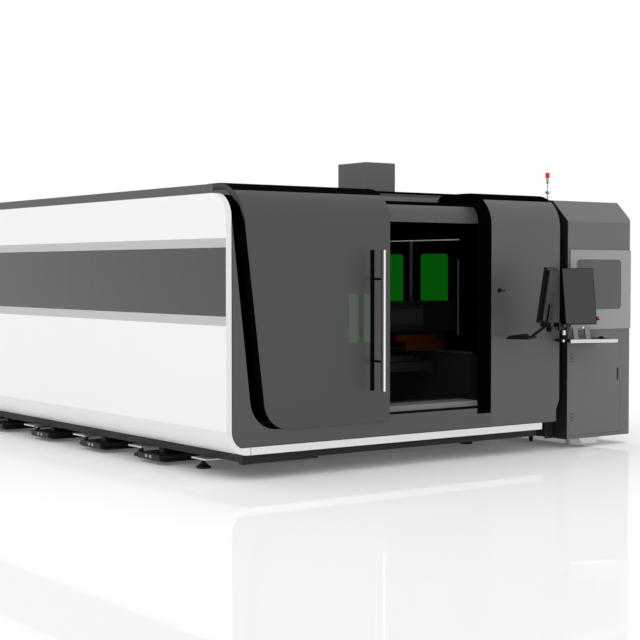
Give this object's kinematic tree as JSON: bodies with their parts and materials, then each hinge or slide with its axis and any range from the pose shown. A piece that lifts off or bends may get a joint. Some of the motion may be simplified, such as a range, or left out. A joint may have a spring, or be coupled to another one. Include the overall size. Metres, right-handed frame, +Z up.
{
  "type": "fiber laser cutting machine",
  "caption": "Enclosed laser cutting machine for sheet and tube, with a sliding door, gantry, cutting head, tube chucks, operator desk and side display.",
  "frame": {"origin": "centre of the footprint, on the floor that the feet stand on", "axes": "+X to the right along the front, from the sliding door to the console; +Y from the front to the rear; +Z up"},
  "size_m": [4.607, 8.9548, 2.653],
  "materials": {
    "white_enamel": "semi-gloss powder-coated white sheet",
    "pale_grey_enamel": "semi-gloss pale grey sheet",
    "band_grey": "glossy dark grey window band",
    "door_grey": "satin dark grey powder coat",
    "shell_grey": "satin dark grey powder coat",
    "housing_grey": "satin mid grey powder coat",
    "hatch_grey": "satin light grey powder coat",
    "roof_grey": "satin dark grey powder coat",
    "black_enamel": "satin black powder coat",
    "frame_black": "matt black paint on welded bars",
    "bed_grey": "satin grey machine paint",
    "orange_enamel": "satin orange machine paint",
    "rail_steel": "ground steel",
    "slat_steel": "mill-finish steel strip",
    "plate_steel": "bare light metal plate",
    "handle_chrome": "polished chrome",
    "head_metal": "anodised body",
    "chuck_steel": "turned steel",
    "laser_glass": "green laser-safe acrylic, glossy",
    "dark_glass": "smoked glossy pane",
    "lamp_white": "diffuser of a light strip",
    "lamp_red": "glossy red lens",
    "button_red": "glossy moulded plastic",
    "button_black": "moulded plastic",
    "screen_grey": "satin moulded plastic",
    "desk_black": "fine-textured black",
    "keyboard_black": "moulded plastic keys"
  },
  "bodies": {
    "machine": {"base_frame": "frame_black", "levelling_feet": "frame_black", "foot_plates": "plate_steel", "cross_channels": "frame_black", "machine_bed": "bed_grey", "guide_rails": "rail_steel", "pallet_frame": "bed_grey", "pallet_slats": "slat_steel", "front_trim": "white_enamel", "lower_side_panels": "white_enamel", "side_chamfers": "pale_grey_enamel", "side_window_bands": "band_grey", "upper_side_panels": "white_enamel", "main_roof": "roof_grey", "front_roof": "black_enamel", "extraction_box": "roof_grey", "rear_wall": "white_enamel", "front_surround": "shell_grey", "inner_front_wall": "black_enamel", "front_fascia": "shell_grey", "door_track": "black_enamel", "right_shell": "shell_grey", "shell_liner": "black_enamel", "recess_panels": "black_enamel", "inner_side_wall": "black_enamel", "green_windows": "laser_glass", "light_strip": "lamp_white", "housing_shell": "housing_grey", "console_cabinet": "frame_black", "desk_top": "desk_black", "desk_rail": "handle_chrome", "main_monitor": "screen_grey", "monitor_stand": "plate_steel", "arm_post": "handle_chrome", "lamp_pole": "frame_black", "lamp_red": "lamp_red", "tube_bed": "bed_grey", "front_chuck_stand": "bed_grey"},
    "door": {"sliding_door": "door_grey", "door_frame": "black_enamel", "door_window": "laser_glass", "handle_front_bar": "handle_chrome", "handle_back_bar": "black_enamel"},
    "gantry": {"gantry_beam": "black_enamel", "gantry_drive": "orange_enamel"},
    "carriage": {"x_carriage": "bed_grey"},
    "head": {"cutting_head": "head_metal"},
    "rear_door": {"pallet_door": "band_grey"},
    "side_hatch": {"hatch": "hatch_grey", "hatch_window": "dark_glass"},
    "cabinet": {"cabinet_door": "housing_grey"},
    "arm": {"arm_link": "black_enamel"},
    "side_unit": {"side_monitor": "screen_grey", "keyboard_tray": "black_enamel", "keyboard": "keyboard_black"},
    "stop_button": {"estop_button": "button_red"},
    "push_button": {"door_button": "button_black"},
    "chuck_front": {"front_chuck": "chuck_steel"},
    "rear_carriage": {"rear_chuck_stand": "bed_grey"},
    "chuck_rear": {"rear_chuck": "chuck_steel"}
  },
  "joints": [
    {"name": "door_slide", "type": "slide", "parent": "machine", "child": "door", "axis": [1, 0, 0], "range_m": [0, 1.165]},
    {"name": "gantry_travel", "type": "slide", "parent": "machine", "child": "gantry", "axis": [0, 1, 0], "range_m": [0, 6]},
    {"name": "carriage_travel", "type": "slide", "parent": "gantry", "child": "carriage", "axis": [1, 0, 0], "range_m": [0, 2.5]},
    {"name": "head_lift", "type": "slide", "parent": "carriage", "child": "head", "axis": [0, 0, 1], "range_m": [-0.09, 0.11]},
    {"name": "pallet_door_lift", "type": "slide", "parent": "machine", "child": "rear_door", "axis": [0, 0, 1], "range_m": [0, 0.64]},
    {"name": "hatch_lift", "type": "slide", "parent": "machine", "child": "side_hatch", "axis": [0, 0, 1], "range_m": [0, 0.24]},
    {"name": "cabinet_door_hinge", "type": "hinge", "parent": "machine", "child": "cabinet", "pos_m": [1.4555, -3.9225, 0.546], "axis": [0, 0, 1], "range_deg": [-110, 0]},
    {"name": "arm_swing", "type": "hinge", "parent": "machine", "child": "arm", "pos_m": [1.2565, -4.0325, 1.137], "axis": [0, 0, 1], "range_deg": [0, 50]},
    {"name": "side_unit_swivel", "type": "hinge", "parent": "arm", "child": "side_unit", "pos_m": [0.7635, -4.3385, 1.137], "axis": [0, 0, 1], "range_deg": [0, 100]},
    {"name": "stop_button_press", "type": "slide", "parent": "machine", "child": "stop_button", "axis": [0.3368, 0.9254, -0.1736], "range_m": [0, 0.005], "stiffness_N_per_m": 1500},
    {"name": "door_button_press", "type": "slide", "parent": "machine", "child": "push_button", "axis": [0, 1, 0], "range_m": [0, 0.005], "stiffness_N_per_m": 1500},
    {"name": "front_chuck_spin", "type": "hinge", "parent": "machine", "child": "chuck_front", "pos_m": [1.8375, -2.9225, 1.25], "axis": [0, 1, 0], "continuous": true},
    {"name": "rear_chuck_slide", "type": "slide", "parent": "machine", "child": "rear_carriage", "axis": [0, -1, 0], "range_m": [0, 3.6]},
    {"name": "rear_chuck_spin", "type": "hinge", "parent": "rear_carriage", "child": "chuck_rear", "pos_m": [1.8375, 2.5775, 1.25], "axis": [0, 1, 0], "continuous": true}
  ],
  "couplings": [
    {"joint": "rear_chuck_spin", "follows": "front_chuck_spin", "ratio": 1}
  ]
}
